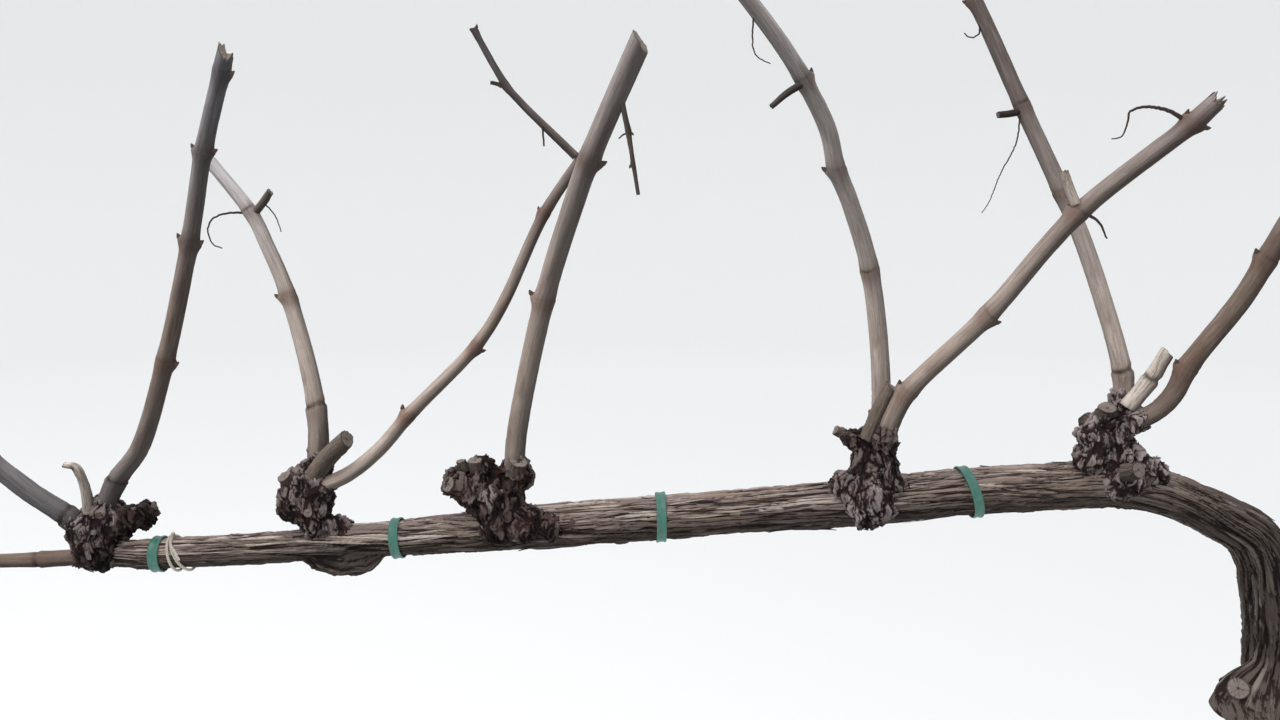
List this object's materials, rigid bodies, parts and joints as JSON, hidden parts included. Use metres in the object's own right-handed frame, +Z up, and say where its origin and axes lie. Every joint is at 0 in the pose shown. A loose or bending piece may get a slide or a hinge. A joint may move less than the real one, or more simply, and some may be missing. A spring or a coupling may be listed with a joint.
{
  "type": "grapevine",
  "caption": "Bare winter grapevine whose trunk bends over into a level cordon with gnarled pruning heads, cut canes, spurs and flat tie bands.",
  "frame": {"origin": "middle of the flat cut under the trunk, at ground level", "axes": "+Z up; the cordon runs along -X from the trunk; -Y is the side that the picture shows"},
  "size_m": [1.1681, 0.1717, 1.1014],
  "materials": {
    "stem_bark": "rough, fissured, stringy bark",
    "head_bark": "rough, dark, flaking callus",
    "cane_bark": "smooth, finely streaked cane bark",
    "dead_wood": "dry, weathered wood",
    "tie_band": "satin green plastic band",
    "twine": "dry natural twine"
  },
  "bodies": {
    "root": {"trunk": "stem_bark", "cordon": "stem_bark", "cordon_tail": "cane_bark", "cane_1_low": "cane_bark", "cane_1_tall": "cane_bark", "dead_spur_1": "dead_wood", "cane_2_pale": "cane_bark", "stub_2": "dead_wood", "cane_2_long": "cane_bark", "lateral_2": "cane_bark", "side_stub_2": "dead_wood", "cane_3": "cane_bark", "lateral_3": "cane_bark", "cane_4_left": "cane_bark", "stub_4": "dead_wood", "lateral_4": "cane_bark", "cane_4_right": "cane_bark", "side_stub_4": "dead_wood", "cane_5_left": "cane_bark", "side_stub_5": "dead_wood", "stub_5": "dead_wood", "cane_5_right": "cane_bark", "head_1": "head_bark", "head_2": "head_bark", "head_3": "head_bark", "head_4": "head_bark", "head_5": "head_bark", "tie_1": "tie_band", "tie_2": "tie_band", "tie_3": "tie_band", "tie_4": "tie_band", "twine": "twine"}
  },
  "joints": []
}
